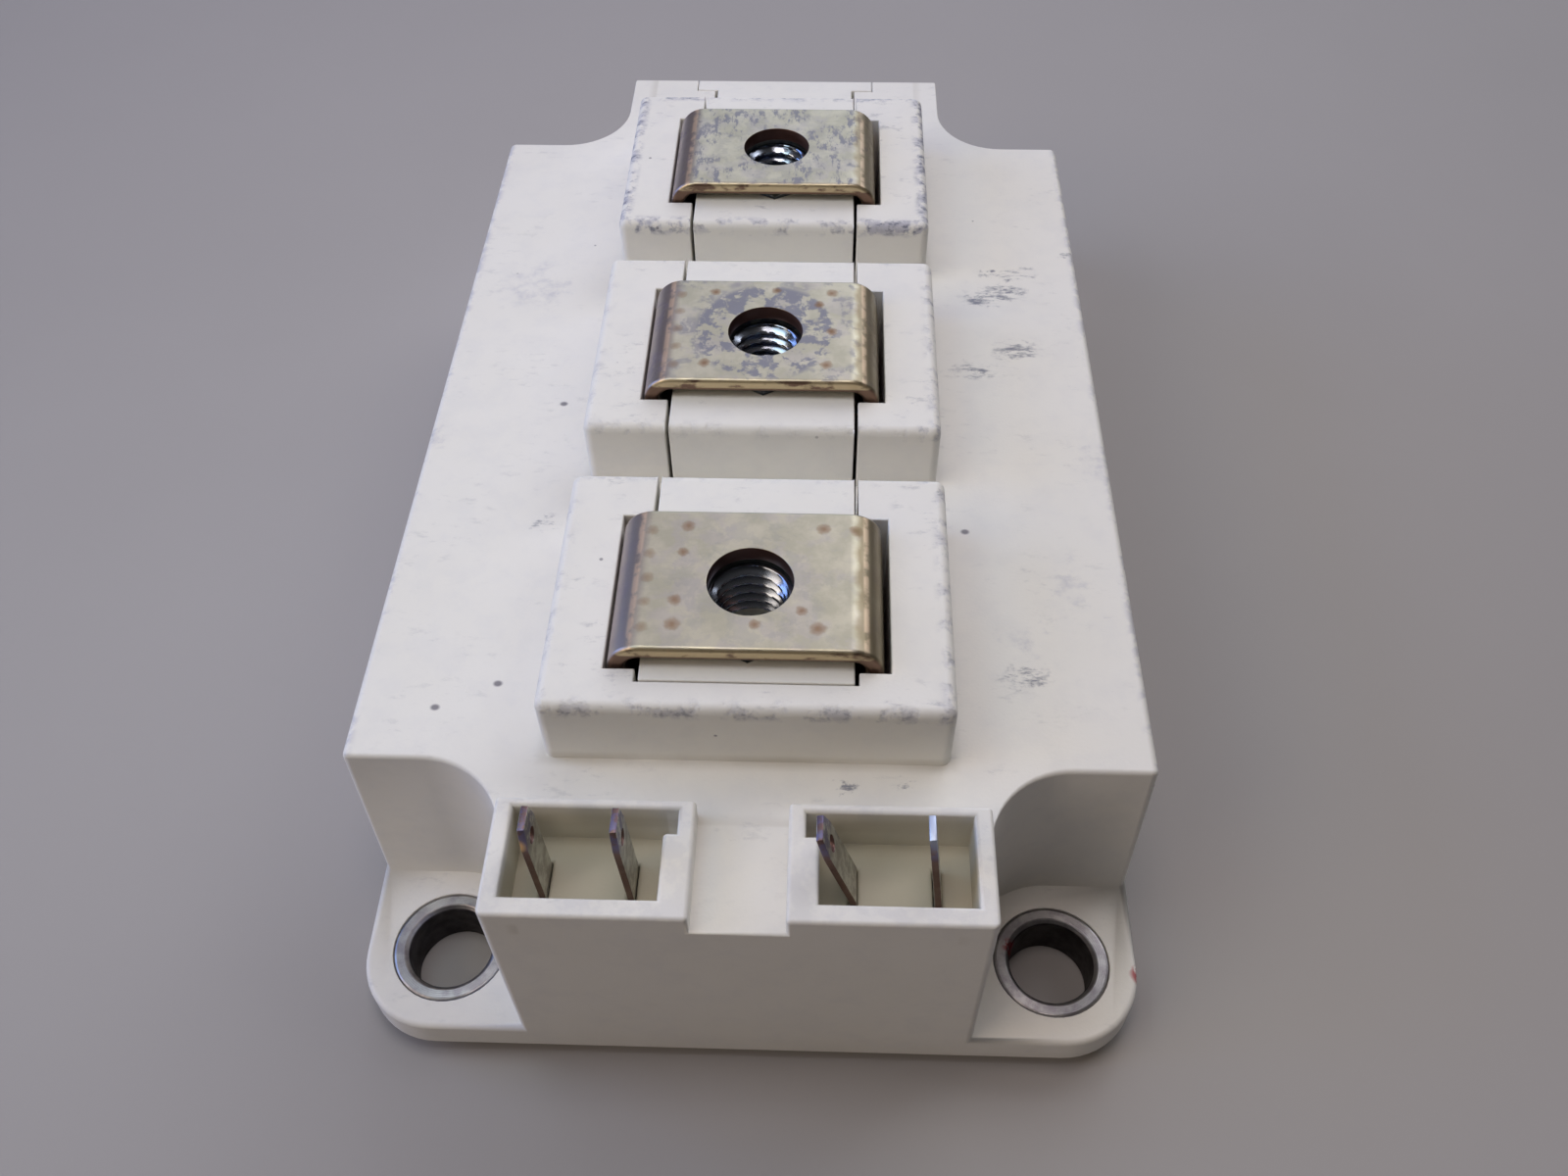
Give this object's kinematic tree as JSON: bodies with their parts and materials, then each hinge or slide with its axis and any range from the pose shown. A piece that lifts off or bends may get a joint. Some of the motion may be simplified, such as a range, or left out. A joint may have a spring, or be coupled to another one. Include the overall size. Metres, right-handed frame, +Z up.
{
  "type": "half-bridge power semiconductor module",
  "caption": "Flat moulded power module on a bolt-down metal base plate, with raised screw terminals in a row over captive nuts and small control tabs in sockets at one end.",
  "frame": {"origin": "centre of the base plate's underside, on the heatsink face", "axes": "+Z up out of the terminals, Y along the module with the control tabs at the -Y end, X across it"},
  "size_m": [0.0614, 0.1064, 0.0305],
  "materials": {
    "housing_plastic": "matt cream glass-filled plastic, fine moulding texture, scuffed edges",
    "carrier_plastic": "matt cream plastic, a little lighter than the housing",
    "nickel_plate": "nickel-plated copper, satin, darkened with handling",
    "sleeve_steel": "bare turned steel, bright rim",
    "zinc_nut": "bright zinc plating",
    "terminal_copper": "tarnished plated copper with dark smears and brown spots",
    "tab_copper": "thin tarnished plated copper, dark edges",
    "bare_copper": "bare copper sheet bonded to ceramic",
    "solder": "dull grey solder",
    "ceramic": "white alumina tile",
    "silicon": "polished dark silicon",
    "bond_wire": "soft aluminium wire",
    "lead_wire": "insulated lead wire",
    "gel": "clear soft silicone gel",
    "seal": "grey silicone adhesive bead"
  },
  "bodies": {
    "module": {"base_plate": "nickel_plate", "housing": "housing_plastic", "housing_seal": "seal", "silicone_gel": "gel", "sleeve_front_left": "sleeve_steel", "sleeve_front_right": "sleeve_steel", "sleeve_rear_left": "sleeve_steel", "sleeve_rear_right": "sleeve_steel", "terminal_front": "terminal_copper", "terminal_middle": "terminal_copper", "terminal_rear": "terminal_copper", "tab_outer_left": "tab_copper", "lead_outer_left": "lead_wire", "tab_inner_left": "tab_copper", "lead_inner_left": "lead_wire", "tab_inner_right": "tab_copper", "lead_inner_right": "lead_wire", "tab_outer_right": "tab_copper", "lead_outer_right": "lead_wire", "solder_front": "solder", "bottom_copper_front": "bare_copper", "ceramic_front": "ceramic", "collector_pad_front": "bare_copper", "emitter_pad_front": "bare_copper", "gate_pad_front": "bare_copper", "bond_wires_front": "bond_wire", "solder_rear": "solder", "bottom_copper_rear": "bare_copper", "ceramic_rear": "ceramic", "collector_pad_rear": "bare_copper", "emitter_pad_rear": "bare_copper", "gate_pad_rear": "bare_copper", "bond_wires_rear": "bond_wire", "switch_chip_1": "silicon", "diode_chip_1": "silicon", "switch_chip_2": "silicon", "diode_chip_2": "silicon", "switch_chip_3": "silicon", "diode_chip_3": "silicon", "switch_chip_4": "silicon", "diode_chip_4": "silicon"},
    "nut_carrier": {"nut_carrier": "carrier_plastic"},
    "front_nut": {"nut_front": "zinc_nut"},
    "middle_nut": {"nut_middle": "zinc_nut"},
    "rear_nut": {"nut_rear": "zinc_nut"}
  },
  "joints": [
    {"name": "carrier_slide", "type": "slide", "parent": "module", "child": "nut_carrier", "axis": [0, 1, 0], "range_m": [0, 0.09]},
    {"name": "front_nut_float", "type": "slide", "parent": "nut_carrier", "child": "front_nut", "axis": [0, 0, 1], "range_m": [0, 0.00025]},
    {"name": "middle_nut_float", "type": "slide", "parent": "nut_carrier", "child": "middle_nut", "axis": [0, 0, 1], "range_m": [0, 0.00025]},
    {"name": "rear_nut_float", "type": "slide", "parent": "nut_carrier", "child": "rear_nut", "axis": [0, 0, 1], "range_m": [0, 0.00025]}
  ]
}
